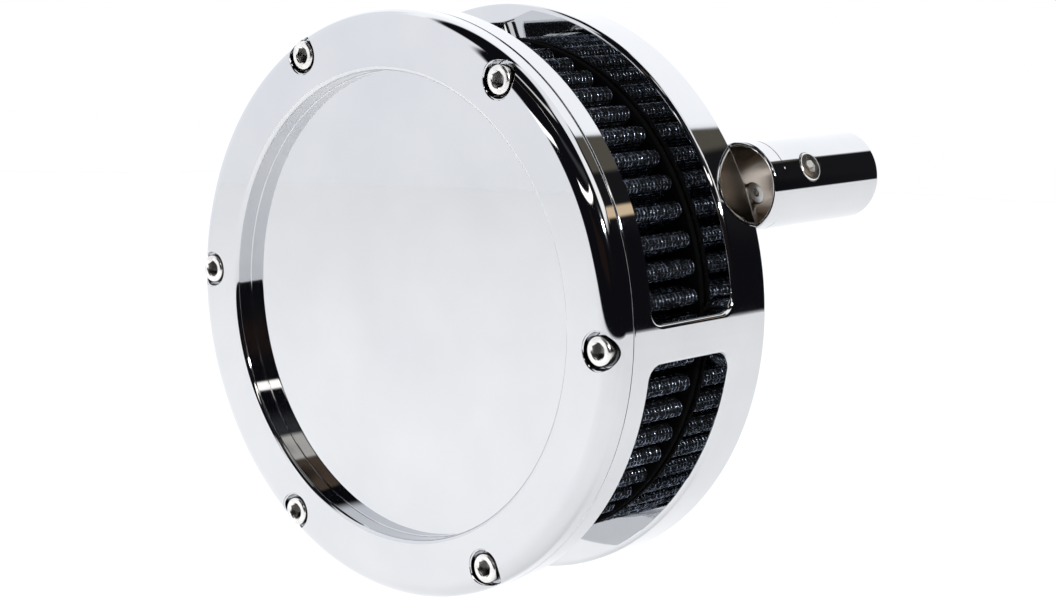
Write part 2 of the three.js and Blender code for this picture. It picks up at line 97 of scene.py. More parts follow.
COVER_LOW, COVER_HIGH, _ = box_mm("cover")
BODY_RADIUS = COVER_HIGH.x
FRONT_Y = COVER_LOW.y
SEAM_Y = COVER_HIGH.y
HOUSING_LOW, HOUSING_HIGH, _ = box_mm("housing")
HOUSING_FRONT_Y = HOUSING_LOW.y
REAR_Y = HOUSING_HIGH.y
COVER_SCREWS = [f"cover_screw_{i}" for i in range(1, 7)]
THROTTLE_SCREWS = [f"throttle_screw_{i}" for i in range(1, 4)]
SIDES = ["right", "left"]
BRACKET_SCREWS = [f"bracket_screw_{side}_{i}" for side in SIDES for i in (1, 2)]

# ---- Sizes that the frame's boxes don't give, in millimetres ----

EDGE_FILLET = 5.3
RECESS_RADIUS = 70.6
RECESS_DEPTH = 5.9
RECESS_FILLET = 1.4
SEAM_FILLET = 0.45

SCREW_POCKET_RADIUS = 5.5
SCREW_POCKET_DEPTH = 5.0
POCKET_RIM_RADIUS = 0.42
CLEARANCE = 0.3  # between pieces that touch
CUT_OVERSHOOT = 1.0  # how far a cutting block reaches past the surface it opens

COVER_SHANK = 2.5
THROTTLE_SHANK = 3.0
BRACKET_SHANK = 2.5
RETAINING_SHANK = 2.0
PLUG_RADIUS = 4.4

HOUSING_INNER_RADIUS = 79.6
WALL_Y = -14.9
FRONT_RING_DEPTH = 7.0
HOUSING_BORE_RADIUS = 29.0
RIB_COUNT = 3
RIB_HALF_WIDTH = 6.0
WINDOW_FILLET = 1.5
WINDOW_FRONT_FILLET = 0.35
WINDOW_CORNER = 5.4
REAR_POCKET_RADII = (50.0, 83.0)
REAR_POCKET_DEPTH = 8.0
REAR_POCKETS_DEG = [(48, 132), (176, 262), (278, 364)]
REAR_POCKET_CORNER = 4.0
SEAL_GROOVE = (31.0, 34.4, 2.4)  # inner radius, outer radius, depth

PLEAT_COUNT = 55
TIP_RADIUS = 75.4
VALLEY_RADIUS = 63.0
BEND_RADIUS = 1.5
CAP_INNER_RADIUS = 59.3
MEDIA_HALF_THICKNESS = 0.55
SCREEN_OFFSET = 1.02
WIRE_PITCH = 1.5
WIRE_RADIUS = 0.16
WEAVE_RISE = 0.12

TUBE_RADIUS = 13.4
TUBE_BORE = 12.0
TUBE_JOINT_Y = 6.1
CROSS_HOLE_Y = 18.3

RIM_SEGMENTS = 360
TUBE_SEGMENTS = 144
SCREW_SEGMENTS = 48

# ---- Outlines and solids ----


def rounded(corners, steps=8):
    """A closed outline from (u, v, fillet radius) corners, each rounded corner as an arc."""
    points = []
    for i, (u, v, fillet) in enumerate(corners):
        corner = Vector((u, v))
        if not fillet:
            points.append(corner)
            continue
        before = (Vector(corners[i - 1][:2]) - corner).normalized()
        after = (Vector(corners[(i + 1) % len(corners)][:2]) - corner).normalized()
        half = before.angle(after) / 2
        centre = corner + (before + after).normalized() * (fillet / math.sin(half))
        reach = fillet / math.tan(half)
        start = corner + before * reach - centre
        end = corner + after * reach - centre
        first = math.atan2(start.y, start.x)
        sweep = (math.atan2(end.y, end.x) - first + math.pi) % TAU - math.pi
        for step in range(steps + 1):
            angle = first + sweep * step / steps
            points.append(centre + fillet * Vector((math.cos(angle), math.sin(angle))))
    return points


def thread_cut(thread, radius, y, angle):
    """How much a screw thread takes off a shank's radius at one point of it."""
    start, end, shank, pitch, depth = thread
    if abs(radius - shank) > TINY or not start < y < end:
        return 0
    turn = (y / pitch - angle / TAU) % 1
    return depth * abs(2 * turn - 1)


def skin(bm, rings):
    """Faces between each ring of corners and the next, where a ring of one corner is a point."""
    for a, b in zip(rings, rings[1:]):
        count = max(len(a), len(b))
        if count == 1:
            continue
        for i in range(count):
            j = (i + 1) % count
            corners = [a[i % len(a)], a[j % len(a)], b[j % len(b)], b[i % len(b)]]
            bm.faces.new(dict.fromkeys(corners))
    bmesh.ops.recalc_face_normals(bm, faces=bm.faces)


def lathe(outline, segments, thread=None):
    """A bmesh of a closed (radius, y) outline turned about the Y axis."""
    bm = bmesh.new()
    rings = []
    for radius, y in outline:
        if radius < TINY:
            rings.append([bm.verts.new((0, y, 0))])
            continue
        ring = []
        for i in range(segments):
            angle = TAU * i / segments
            r = radius - (thread_cut(thread, radius, y, angle) if thread else 0)
            ring.append(bm.verts.new((r * math.cos(angle), y, r * math.sin(angle))))
        rings.append(ring)
    skin(bm, rings + rings[:1])
    return bm


def make_object(name, bm):
    """An object in the scene from a bmesh, still in millimetres."""
    mesh = bpy.data.meshes.new(name)
    bm.to_mesh(mesh)
    bm.free()
    obj = bpy.data.objects.new(name, mesh)
    bpy.context.scene.collection.objects.link(obj)
    return obj


def turned(name, corners, segments, steps=8, thread=None):
    return make_object(name, lathe(rounded(corners, steps), segments, thread))


def prism(name, outline, y0, y1):
    """A straight block along Y with an outline drawn in (x, z)."""
    bm = bmesh.new()
    front = [bm.verts.new((x, y0, z)) for x, z in outline]
    rear = [bm.verts.new((x, y1, z)) for x, z in outline]
    count = len(outline)
    for i in range(count):
        j = (i + 1) % count
        bm.faces.new([front[i], front[j], rear[j], rear[i]])
    bm.faces.new(front)
    bm.faces.new(rear)
    bmesh.ops.recalc_face_normals(bm, faces=bm.faces)
    return make_object(name, bm)


def rod(name, radius, y0, y1, x=0, z=0, segments=SCREW_SEGMENTS):
    obj = turned(name, [(0, y0, 0), (radius, y0, 0), (radius, y1, 0), (0, y1, 0)], segments)
    obj.data.transform(Matrix.Translation((x, 0, z)))
    return obj


def hexagon(radius):
    return [Vector((radius * math.cos(TAU * i / 6), radius * math.sin(TAU * i / 6))) for i in range(6)]


def combine(obj, others, operation):
    """Cuts the others out of an object, or joins them to it, and removes them."""
    for other in others:
        modifier = obj.modifiers.new(other.name, "BOOLEAN")
        modifier.operation = operation
        modifier.solver = "MANIFOLD"
        modifier.object = other
    depsgraph = bpy.context.evaluated_depsgraph_get()
    mesh = bpy.data.meshes.new_from_object(obj.evaluated_get(depsgraph))
    obj.modifiers.clear()
    obj.data = mesh
    for other in others:
        bpy.data.objects.remove(other)
    return obj


def cut(obj, others):
    return combine(obj, others, "DIFFERENCE")


# ---- Normals: a mirror finish shows every facet, so turned surfaces get their exact normals ----

SHARP_ANGLE = math.radians(28)
ARC_TOLERANCE = 0.02


def arc_normal(arcs, radius, y):
    """The direction, in (radius, y), away from the centre of the rounded edge that a point lies on."""
    for centre_radius, centre_y, fillet in arcs:
        away = Vector((radius - centre_radius, y - centre_y))
        if abs(away.length - fillet) < ARC_TOLERANCE:
            return away.normalized()
    return None


def turned_normals(obj, arcs=()):
    """Gives every face that is turned about the Y axis the normals of the true turned surface."""
    mesh = obj.data
    mesh.shade_smooth()
    mesh.set_sharp_from_angle(angle=SHARP_ANGLE)
    normals = [corner.vector.copy() for corner in mesh.corner_normals]
    for face in mesh.polygons:
        middle = Vector((face.center.x, face.center.z))
        if middle.length < TINY:
            continue
        outward = middle.normalized()
        along = face.normal.x * outward.x + face.normal.z * outward.y
        around = -face.normal.x * outward.y + face.normal.z * outward.x
        if abs(around) > ARC_TOLERANCE:
            continue
        for loop in face.loop_indices:
            point = mesh.vertices[mesh.loops[loop].vertex_index].co
            spoke = Vector((point.x, point.z))
            meridian = Vector((along, face.normal.y))
            if arcs:
                bent = arc_normal(arcs, spoke.length, point.y)
                if bent and bent.dot(meridian) < 0:
                    bent = -bent
                if bent and bent.dot(meridian) > math.cos(SHARP_ANGLE):
                    meridian = bent
            spoke.normalize()
            normals[loop] = Vector((meridian.x * spoke.x, meridian.y, meridian.x * spoke.y)).normalized()
    mesh.normals_split_custom_set(normals)


def smooth_by_angle(obj, degrees=32):
    obj.data.shade_smooth()
    obj.data.set_sharp_from_angle(angle=math.radians(degrees))


def place(obj, node, material, matrix=None):
    """Moves a finished piece to its place, in metres, in place of its CAD node."""
    if matrix:
        obj.data.transform(matrix)
    obj.data.transform(Matrix.Scale(MM, 4))
    obj.data.materials.clear()
    obj.data.materials.append(material)
    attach(obj, frame["nodes"][node]["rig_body"])
    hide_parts(node)
    return obj


# ---- Materials ----


class Nodes:
    """Small helpers to write a node tree."""

    def __init__(self, name):
        self.material = bpy.data.materials.new(name)
        self.material.use_nodes = True
        self.tree = self.material.node_tree
        self.shader = self.tree.nodes["Principled BSDF"]
        self.position = self.add("ShaderNodeTexCoord").outputs["Object"]

    def add(self, kind, **settings):
        node = self.tree.nodes.new(kind)
        for key, value in settings.items():
            setattr(node, key, value)
        return node

    def link(self, output, socket):
        self.tree.links.new(output, socket)

    def noise(self, scale, detail=4, stretch=None):
        node = self.add("ShaderNodeTexNoise")
        node.inputs["Scale"].default_value = scale
        node.inputs["Detail"].default_value = detail
        source = self.position
        if stretch:
            mapping = self.add("ShaderNodeMapping")
            mapping.inputs["Scale"].default_value = stretch
            self.link(self.position, mapping.inputs["Vector"])
            source = mapping.outputs["Vector"]
        self.link(source, node.inputs["Vector"])
        return node.outputs["Fac"]

    def spread(self, value, low, high, start=0.3, end=0.7):
        node = self.add("ShaderNodeMapRange")
        node.inputs["From Min"].default_value = start
        node.inputs["From Max"].default_value = end
        node.inputs["To Min"].default_value = low
        node.inputs["To Max"].default_value = high
        self.link(value, node.inputs["Value"])
        return node.outputs["Result"]

    def ramp(self, value, low, high, start=0.3, end=0.7):
        node = self.add("ShaderNodeValToRGB")
        node.color_ramp.elements[0].position = start
        node.color_ramp.elements[0].color = (*low, 1)
        node.color_ramp.elements[1].position = end
        node.color_ramp.elements[1].color = (*high, 1)
        self.link(value, node.inputs["Fac"])
        return node.outputs["Color"]

    def bump(self, height, strength, distance, normal=None):
        node = self.add("ShaderNodeBump")
        node.inputs["Strength"].default_value = strength
        node.inputs["Distance"].default_value = distance
        self.link(height, node.inputs["Height"])
        if normal:
            self.link(normal, node.inputs["Normal"])
        return node.outputs["Normal"]

    def scale(self, colour, factor):
        node = self.add("ShaderNodeVectorMath", operation="SCALE")
        self.link(colour, node.inputs[0])
        self.link(factor, node.inputs["Scale"])
        return node.outputs["Vector"]

    def worn_edges(self, colour):
        """A colour a little brighter along the outer edges of a piece."""
        sharpness = self.add("ShaderNodeNewGeometry").outputs["Pointiness"]
        return self.scale(colour, self.spread(sharpness, 1, 1.13, 0.52, 0.6))

    def multiply(self, first, second):
        node = self.add("ShaderNodeVectorMath", operation="MULTIPLY")
        self.link(first, node.inputs[0])
        self.link(second, node.inputs[1])
        return node.outputs["Vector"]

    def plus(self, first, second):
        node = self.add("ShaderNodeMath", operation="ADD")
        self.link(first, node.inputs[0])
        self.link(second, node.inputs[1])
        return node.outputs["Value"]

    def radius(self, x=0, z=0):
        """Distance from the air cleaner's axis, or from another line along Y, in metres."""
        flat = self.add("ShaderNodeVectorMath", operation="MULTIPLY_ADD")
        flat.inputs[1].default_value = (1, 0, 1)
        flat.inputs[2].default_value = (-x * MM, 0, -z * MM)
        self.link(self.position, flat.inputs[0])
        length = self.add("ShaderNodeVectorMath", operation="LENGTH")
        self.link(flat.outputs["Vector"], length.inputs[0])
        return length.outputs["Value"]


BORE_TINT = (1.15, 0.98, 0.80)
BORE_DULLNESS = 0.2


def chrome(name, bores=()):
    """Mirror plate with faint haze, a trace of orange peel and polishing hairlines.

    Inside the bores, each given by the (x, z) of its axis, the plate is thin: duller and warmer.
    """
    n = Nodes(name)
    n.shader.inputs["Metallic"].default_value = 1
    haze = n.noise(35, 5)
    colour = n.ramp(haze, (0.63, 0.642, 0.662), (0.67, 0.68, 0.695))
    roughness = n.spread(haze, 0.012, 0.05)
    for x, z in bores:
        inside = n.spread(n.radius(x, z), 1, 0, (TUBE_BORE + 0.1) * MM, (TUBE_BORE + 0.4) * MM)
        colour = n.multiply(colour, n.ramp(inside, (1, 1, 1), BORE_TINT, 0, 1))
        roughness = n.plus(roughness, n.spread(inside, 0, BORE_DULLNESS, 0, 1))
    n.link(colour, n.shader.inputs["Base Color"])
    n.link(roughness, n.shader.inputs["Roughness"])
    peel = n.bump(n.noise(420, 2), 0.0025, 0.0002)
    hairlines = n.noise(900, 3, stretch=(1, 1, 0.03))
    n.link(n.bump(hairlines, 0.004, 0.0001, peel), n.shader.inputs["Normal"])
    return n.material


# Painted shade in the screws' hex sockets: the colour darkens with depth into the socket, where shade falls
SOCKET_SHADE_DEPTHS = (0.4, 1.6)  # where it starts and where it is darkest, in millimetres
SOCKET_SHADE_FACTOR = 0.36


def brushed_metal(name, low, high, roughness, marks, socket_y=None):
    """Turned or machined metal, with marks that follow circles round the axis.

    A socket that starts at socket_y gets darker with its depth: painted shade, for the shade that falls
    deep in it.
    """
    n = Nodes(name)
    n.shader.inputs["Metallic"].default_value = 1
    patches = n.noise(160, 5)
    colour = n.worn_edges(n.ramp(patches, low, high))
    if socket_y is not None:
        parts = n.add("ShaderNodeSeparateXYZ")
        n.link(n.position, parts.inputs[0])
        start, end = (socket_y + depth for depth in SOCKET_SHADE_DEPTHS)
        # painted shade: the socket's colour darkens with its depth
        colour = n.scale(colour, n.spread(parts.outputs["Y"], 1, SOCKET_SHADE_FACTOR, start * MM, end * MM))
    n.link(colour, n.shader.inputs["Base Color"])
    n.link(n.spread(patches, roughness - 0.07, roughness + 0.08), n.shader.inputs["Roughness"])
    rings = n.add("ShaderNodeTexNoise", noise_dimensions="1D")
    rings.inputs["Scale"].default_value = marks
    rings.inputs["Detail"].default_value = 3
    n.link(n.radius(), rings.inputs["W"])
    n.link(n.bump(rings.outputs["Fac"], 0.08, 0.0002), n.shader.inputs["Normal"])
    return n.material


def rubber(name, low, high, roughness, shine):
    n = Nodes(name)
    cloud = n.noise(90, 6)
    n.link(n.ramp(cloud, low, high), n.shader.inputs["Base Color"])
    n.link(n.spread(cloud, roughness - 0.1, roughness + 0.1), n.shader.inputs["Roughness"])
    n.shader.inputs["Specular IOR Level"].default_value = shine
    n.link(n.bump(n.noise(1800, 3), 0.25, 0.0002), n.shader.inputs["Normal"])
    return n.material


def gauze():
    """Dark cotton gauze: a fine square weave laid on the pleats by their own length and height."""
    n = Nodes("filter_gauze")
    coordinates = n.add("ShaderNodeTexCoord").outputs["UV"]
    weave = n.add("ShaderNodeTexChecker")
    weave.inputs["Scale"].default_value = 3.0
    n.link(coordinates, weave.inputs["Vector"])
    fibres = n.noise(700, 5)
    mixed = n.add("ShaderNodeMath", operation="MULTIPLY")
    n.link(weave.outputs["Fac"], mixed.inputs[0])
    n.link(fibres, mixed.inputs[1])
    height = mixed.outputs["Value"]
    n.link(n.ramp(height, (0.0008, 0.0011, 0.0019), (0.005, 0.0065, 0.011)), n.shader.inputs["Base Color"])
    n.link(n.spread(fibres, 0.8, 0.98), n.shader.inputs["Roughness"])
    n.shader.inputs["Specular IOR Level"].default_value = 0.2
    n.link(n.bump(height, 0.5, 0.0003), n.shader.inputs["Normal"])
    return n.material


def wire():
    """Thin drawn wire, darkened, and brighter where the dark finish has worn through."""
    n = Nodes("wire_screen")
    wear = n.noise(600, 5)
    colour = n.ramp(wear, (0.013, 0.016, 0.023), (0.36, 0.42, 0.54), 0.44, 0.68)
    n.link(colour, n.shader.inputs["Base Color"])
    n.shader.inputs["Metallic"].default_value = 1
    n.link(n.spread(wear, 0.32, 0.18), n.shader.inputs["Roughness"])
    n.link(n.bump(n.noise(3000, 2), 0.1, 0.0001), n.shader.inputs["Normal"])
    return n.material


COVER_CHROME = chrome("cover_chrome")
HOUSING_CHROME = chrome("housing_chrome")
TUBE_MIDDLES = [box_mm(f"breather_tube_{side}")[2] for side in SIDES]
TUBE_CHROME = chrome("tube_chrome", [(middle.x, middle.z) for middle in TUBE_MIDDLES])
SCREW_FACE_Y = box_mm("cover_screw_1")[0].y
SCREW_FACE = brushed_metal(
    "cover_screw_steel", (0.70, 0.69, 0.67), (0.84, 0.83, 0.81), 0.17, 9000, SCREW_FACE_Y
)
SCREW_STEEL = brushed_metal("screw_steel", (0.64, 0.63, 0.61), (0.80, 0.79, 0.77), 0.19, 9000)
ALUMINIUM = brushed_metal("machined_aluminium", (0.56, 0.57, 0.59), (0.74, 0.75, 0.77), 0.34, 5000)
SEAL_RUBBER = rubber("seal_rubber", (0.008, 0.008, 0.008), (0.02, 0.02, 0.02), 0.6, 0.3)
CAP_RUBBER = rubber("filter_rubber", (0.001, 0.001, 0.0013), (0.003, 0.003, 0.0035), 0.8, 0.03)
GAUZE = gauze()
WIRE = wire()

# ---- Cover ----


def cover_surface_y(radius):
    """The height of the cover's front surface, bezel and rounded edge, at a radius."""
    over = radius - (BODY_RADIUS - EDGE_FILLET)
    if over <= 0:
        return FRONT_Y
    return FRONT_Y + EDGE_FILLET - math.sqrt(EDGE_FILLET**2 - over**2)


def pocket_rim(x, z):
    """A thin tube along the edge between a screw pocket and the cover, which rounds that edge."""
    bm = bmesh.new()
    around, section = 120, 12
    rings = []
    for i in range(around):
        angle = TAU * i / around
        outward = Vector((math.cos(angle), 0, math.sin(angle)))
        px = x + SCREW_POCKET_RADIUS * outward.x
        pz = z + SCREW_POCKET_RADIUS * outward.z
        centre = Vector((px, cover_surface_y(math.hypot(px, pz)), pz))
        ring = []
        for k in range(section):
            turn = TAU * k / section
            offset = outward * math.cos(turn) + Vector((0, math.sin(turn), 0))
            ring.append(bm.verts.new(centre + POCKET_RIM_RADIUS * offset))
        rings.append(ring)
    skin(bm, rings + rings[:1])
    return make_object("rim", bm)


def build_cover():
    bend = BODY_RADIUS - EDGE_FILLET
    recess_y = FRONT_Y + RECESS_DEPTH
    outline = [
        (0, recess_y, 0),
        (RECESS_RADIUS, recess_y, 0.3),
        (RECESS_RADIUS, FRONT_Y, RECESS_FILLET),
        (BODY_RADIUS, FRONT_Y, EDGE_FILLET),
        (BODY_RADIUS, SEAM_Y, SEAM_FILLET),
        (0, SEAM_Y, 0),
    ]
    cover = turned("cover_fine", outline, RIM_SEGMENTS, steps=20)
    cutters = []
    floor_y = FRONT_Y + SCREW_POCKET_DEPTH
    for node in COVER_SCREWS:
        _, _, middle = box_mm(node)
        pocket = [
            (0, FRONT_Y - CUT_OVERSHOOT, 0),
            (SCREW_POCKET_RADIUS, FRONT_Y - CUT_OVERSHOOT, 0),
            (SCREW_POCKET_RADIUS, floor_y, 0.3),
            (COVER_SHANK + CLEARANCE, floor_y, 0),
            (COVER_SHANK + CLEARANCE, SEAM_Y + CUT_OVERSHOOT, 0),
            (0, SEAM_Y + CUT_OVERSHOOT, 0),
        ]
        cutter = turned("pocket", pocket, 96)
        cutter.data.transform(Matrix.Translation((middle.x, 0, middle.z)))
        cutters += [cutter, pocket_rim(middle.x, middle.z)]
    cut(cover, cutters)
    arcs = [
        (RECESS_RADIUS + RECESS_FILLET, FRONT_Y + RECESS_FILLET, RECESS_FILLET),
        (bend, FRONT_Y + EDGE_FILLET, EDGE_FILLET),
        (BODY_RADIUS - SEAM_FILLET, SEAM_Y - SEAM_FILLET, SEAM_FILLET),
    ]
    turned_normals(cover, arcs)
    place(cover, "cover", COVER_CHROME)


# ---- Screws, all with a hexagon socket and a rolled thread ----


def cap_screw(name, head, head_height, socket, socket_depth, shank, length, pitch):
    """A cap screw along +Y, with the underside of its head at y = 0."""
    rows = int(length / (pitch / 5))
    thread_start = 1.2
    outline = rounded([(0, -head_height, 0), (head, -head_height, 0.75), (head, 0, 0.2)], 6)
    # rounded() closes its outline, so the point on the axis is followed by the shank's own points
    shank_points = [Vector((shank, 0.02 + (length - 0.5) * i / rows)) for i in range(rows + 1)]
    outline += [Vector((shank, 0))] + shank_points
    outline += [Vector((shank - 0.5, length)), Vector((0, length))]
    thread = (thread_start, length - 0.6, shank, pitch, 0.32)
    screw = make_object(name, lathe(outline, SCREW_SEGMENTS, thread))
    mouth = turned("mouth", [(0, -head_height - 0.6, 0), (socket + 0.65, -head_height - 0.6, 0),
                             (socket - 0.25, -head_height + 0.3, 0), (0, -head_height + 0.3, 0)], 48)
    hole = prism("socket", hexagon(socket), -head_height - 1, -head_height + socket_depth)
    cut(screw, [mouth, hole])
    smooth_by_angle(screw)
    return screw


def build_cap_screws():
    kinds = [
        (COVER_SCREWS, (4.4, 4.5, 2.6, 2.6, COVER_SHANK, 9.8, 0.8), SCREW_FACE, "cover_screw_steel"),
        (THROTTLE_SCREWS, (5.0, 6.0, 2.9, 3.0, THROTTLE_SHANK, 31.0, 1.0), SCREW_STEEL, "screw_steel"),
        (BRACKET_SCREWS, (4.25, 5.0, 2.3, 2.5, BRACKET_SHANK, 20.4, 0.8), SCREW_STEEL, "screw_steel"),
    ]
    turns = random.Random(11)
    for nodes, sizes, material, slot in kinds:
        for node in nodes:
            low, _, middle = box_mm(node)
            screw = cap_screw(f"{node}_fine", *sizes)
            head_height = sizes[1]
            turn = Matrix.Rotation(turns.uniform(0, TAU / 6), 4, "Y")
            at = Matrix.Translation((middle.x, low.y + head_height, middle.z))
            place(screw, node, material, at @ turn)


# ---- Housing ----


def window_outline(half_angle, front, rear, corner):
    """A rounded window drawn in (angle, y), its long sides stepped so that they can follow the wall."""
    reach = half_angle * BODY_RADIUS
    corners = [(-reach, front), (reach, front), (reach, rear), (-reach, rear)]
    arcs = rounded([(u, v, corner) for u, v in corners], 10)
    points = []
    steps = 60
    for i, point in enumerate(arcs):
        after = arcs[(i + 1) % len(arcs)]
        points.append(point)
        if abs(after.x - point.x) > reach:
            points += [point.lerp(after, k / steps) for k in range(1, steps)]
    return [(point.x / BODY_RADIUS, point.y) for point in points]


def window_cutter(middle_angle):
    """A block that opens one window and leaves a rounded edge at the outer surface."""
    half = math.pi / RIB_COUNT - RIB_HALF_WIDTH / BODY_RADIUS
    front = HOUSING_FRONT_Y + FRONT_RING_DEPTH + WINDOW_FRONT_FILLET
    widen = WINDOW_FILLET / BODY_RADIUS

    def outline(share):
        return window_outline(
            half + share * widen,
            front - share * WINDOW_FRONT_FILLET,
            WALL_Y + share * WINDOW_FILLET,
            WINDOW_CORNER,
        )

    inside = HOUSING_INNER_RADIUS - 3
    loops = [(inside, outline(0))]
    bend_start = BODY_RADIUS - WINDOW_FILLET
    for turn in range(0, 81, 8):
        phi = math.radians(turn)
        loops.append((bend_start + WINDOW_FILLET * math.sin(phi), outline(1 - math.cos(phi))))
    outside = BODY_RADIUS + 0.5
    # beyond the rounding the block goes on at the slope it ended with
    end_radius, end_share = loops[-1][0], 1 - math.cos(phi)
    loops.append((outside, outline(end_share + math.tan(phi) * (outside - end_radius) / WINDOW_FILLET)))
    centre_y = (front + WALL_Y) / 2
    steps = 26

    def shrunk(radius, points, share):
        return (radius, [(a * share, centre_y + (y - centre_y) * share) for a, y in points])

    shares = [1 - k / steps for k in range(1, steps)]
    inner_cap = [shrunk(*loops[0], share) for share in reversed(shares)]
    outer_cap = [shrunk(*loops[-1], share) for share in shares]
    bm = bmesh.new()

    def vertex(radius, angle, y):
        turn = middle_angle + angle
        return bm.verts.new((radius * math.cos(turn), y, radius * math.sin(turn)))

    rings = [[vertex(inside, 0, centre_y)]]
    for radius, points in inner_cap + loops + outer_cap:
        rings.append([vertex(radius, a, y) for a, y in points])
    rings.append([vertex(outside, 0, centre_y)])
    skin(bm, rings)
    return make_object("window", bm)


def rear_pocket(start_deg, end_deg):
    """A pocket with rounded corners, drawn in (angle, radius) and bent round the axis."""
    inner, outer = REAR_POCKET_RADII
    middle = (inner + outer) / 2
    start, end = (math.radians(value) * middle for value in (start_deg, end_deg))
    corners = [(start, inner), (end, inner), (end, outer), (start, outer)]
    arcs = rounded([(u, v, REAR_POCKET_CORNER) for u, v in corners])
    points = []
    steps = 48
    for i, point in enumerate(arcs):
        after = arcs[(i + 1) % len(arcs)]
        points.append(point)
        if abs(after.x - point.x) > REAR_POCKET_CORNER:
            points += [point.lerp(after, k / steps) for k in range(1, steps)]
    bent = [(p.y * math.cos(p.x / middle), p.y * math.sin(p.x / middle)) for p in points]
    return prism("rear_pocket", bent, REAR_Y - REAR_POCKET_DEPTH, REAR_Y + CUT_OVERSHOOT)


def screw_hole(node, shank, y0, y1):
    """What a screw's clearance hole takes out of the piece it goes through."""
    _, _, middle = box_mm(node)
    return rod("hole", shank + CLEARANCE, y0, y1, middle.x, middle.z)


def build_housing():
    outline = [
        (HOUSING_INNER_RADIUS, HOUSING_FRONT_Y, 0.3),
        (BODY_RADIUS, HOUSING_FRONT_Y, SEAM_FILLET),
        (BODY_RADIUS, REAR_Y, 0.8),
        (HOUSING_BORE_RADIUS, REAR_Y, 0.4),
        (HOUSING_BORE_RADIUS, WALL_Y, 0.4),
        (HOUSING_INNER_RADIUS, WALL_Y, 0),
    ]
    housing = turned("housing_fine", outline, RIM_SEGMENTS, steps=8)
    cutters = [window_cutter(TAU * (i + 0.5) / RIB_COUNT) for i in range(RIB_COUNT)]
    cutters += [rear_pocket(*angles) for angles in REAR_POCKETS_DEG]
    inner, outer, depth = SEAL_GROOVE
    groove = [(inner, -depth, 0), (outer, -depth, 0), (outer, 1, 0), (inner, 1, 0)]
    cutters.append(turned("groove", groove, TUBE_SEGMENTS))
    for node in COVER_SCREWS:
        _, high, _ = box_mm(node)
        hole_end = high.y + 1
        cutters.append(screw_hole(node, COVER_SHANK, HOUSING_FRONT_Y - CUT_OVERSHOOT, hole_end))
    for nodes, shank in ((THROTTLE_SCREWS, THROTTLE_SHANK), (BRACKET_SCREWS, BRACKET_SHANK)):
        for node in nodes:
            cutters.append(screw_hole(node, shank, WALL_Y - CUT_OVERSHOOT, REAR_Y + CUT_OVERSHOOT))
    cut(housing, cutters)
    arcs = [
        (BODY_RADIUS - SEAM_FILLET, HOUSING_FRONT_Y + SEAM_FILLET, SEAM_FILLET),
        (BODY_RADIUS - 0.8, REAR_Y - 0.8, 0.8),
    ]
    turned_normals(housing, arcs)
    place(housing, "housing", HOUSING_CHROME)


# ---- Inlet ring and its seal ----


def build_inlet():
    low, high, _ = box_mm("inlet_ring")
    seat = WALL_Y - CLEARANCE
    outline = [
        (25, high.y, 0.3),
        (25, low.y, 5.5),
        (high.x, low.y, 0.8),
        (high.x, seat, 0.2),
        (28.7, seat, 0),
        (28.7, high.y, 0.3),
    ]
    ring = turned("inlet_ring_fine", outline, TUBE_SEGMENTS, steps=12)
    ends = (low.y - CUT_OVERSHOOT, seat + CUT_OVERSHOOT)
    cutters = [screw_hole(node, THROTTLE_SHANK, *ends) for node in THROTTLE_SCREWS]
    cut(ring, cutters)
    turned_normals(ring, [(30.5, low.y + 5.5, 5.5)])
    place(ring, "inlet_ring", ALUMINIUM)


def seal_ring(name, ring_radius, section_radius, y, segments):
    points = 20
    outline = []
    for i in range(points):
        angle = TAU * i / points
        outline.append(Vector((ring_radius + section_radius * math.cos(angle),
                               y + section_radius * math.sin(angle))))
    seal = make_object(name, lathe(outline, segments))
    smooth_by_angle(seal, 60)
    return seal


def build_throttle_seal():
    low, high, middle = box_mm("throttle_seal")
    section = (high.y - low.y) / 2
    seal = seal_ring("throttle_seal_fine", high.x - section, section, middle.y, TUBE_SEGMENTS)
    place(seal, "throttle_seal", SEAL_RUBBER)


# ---- Filter ----


def build_cap(node, groove_radii):
    """A moulded end cap with shallow grooves in its outer face."""
    low, high, _ = box_mm(node)
    inner = CAP_INNER_RADIUS
    front = high.y < WALL_Y * 2
    face, back = (low.y, high.y) if front else (high.y, low.y)
    into = 0.7 if front else -0.7
    corners = [(inner, face, 0.5)]
    for radius in groove_radii:
        corners += [(radius - 0.8, face, 0), (radius - 0.5, face + into, 0),
                    (radius + 0.5, face + into, 0), (radius + 0.8, face, 0)]
    corners += [(high.x, face, 0.7), (high.x, back, 0.5), (inner, back, 0.5)]
    cap = turned(f"{node}_fine", corners, 240, steps=5)
    smooth_by_angle(cap, 40)
    place(cap, node, CAP_RUBBER)


def pleat_directions():
    """Angle of every fold, tips and valleys in turn, each a little off its even place."""
    wander = random.Random(5)
    even = TAU / (2 * PLEAT_COUNT)
    return [even * i + wander.uniform(-0.05, 0.05) * even for i in range(2 * PLEAT_COUNT)]


def pleat_outline(offset, steps=6):
    """The folded line at a distance outside (+) or inside (-) of the gauze's middle surface."""
    points = []
    for i, angle in enumerate(pleat_directions()):
        tip = i % 2 == 0
        centre = TIP_RADIUS if tip else VALLEY_RADIUS
        bend = BEND_RADIUS + offset if tip else BEND_RADIUS - offset
        outward = 1 if tip else -1
        for step in range(steps + 1):
            turn = math.pi * (step / steps - 0.5)
            radial = centre + outward * bend * math.cos(turn)
            across = bend * math.sin(turn)
            points.append((
                radial * math.cos(angle) - across * math.sin(angle),
                radial * math.sin(angle) + across * math.cos(angle),
            ))
    return np.array(points)


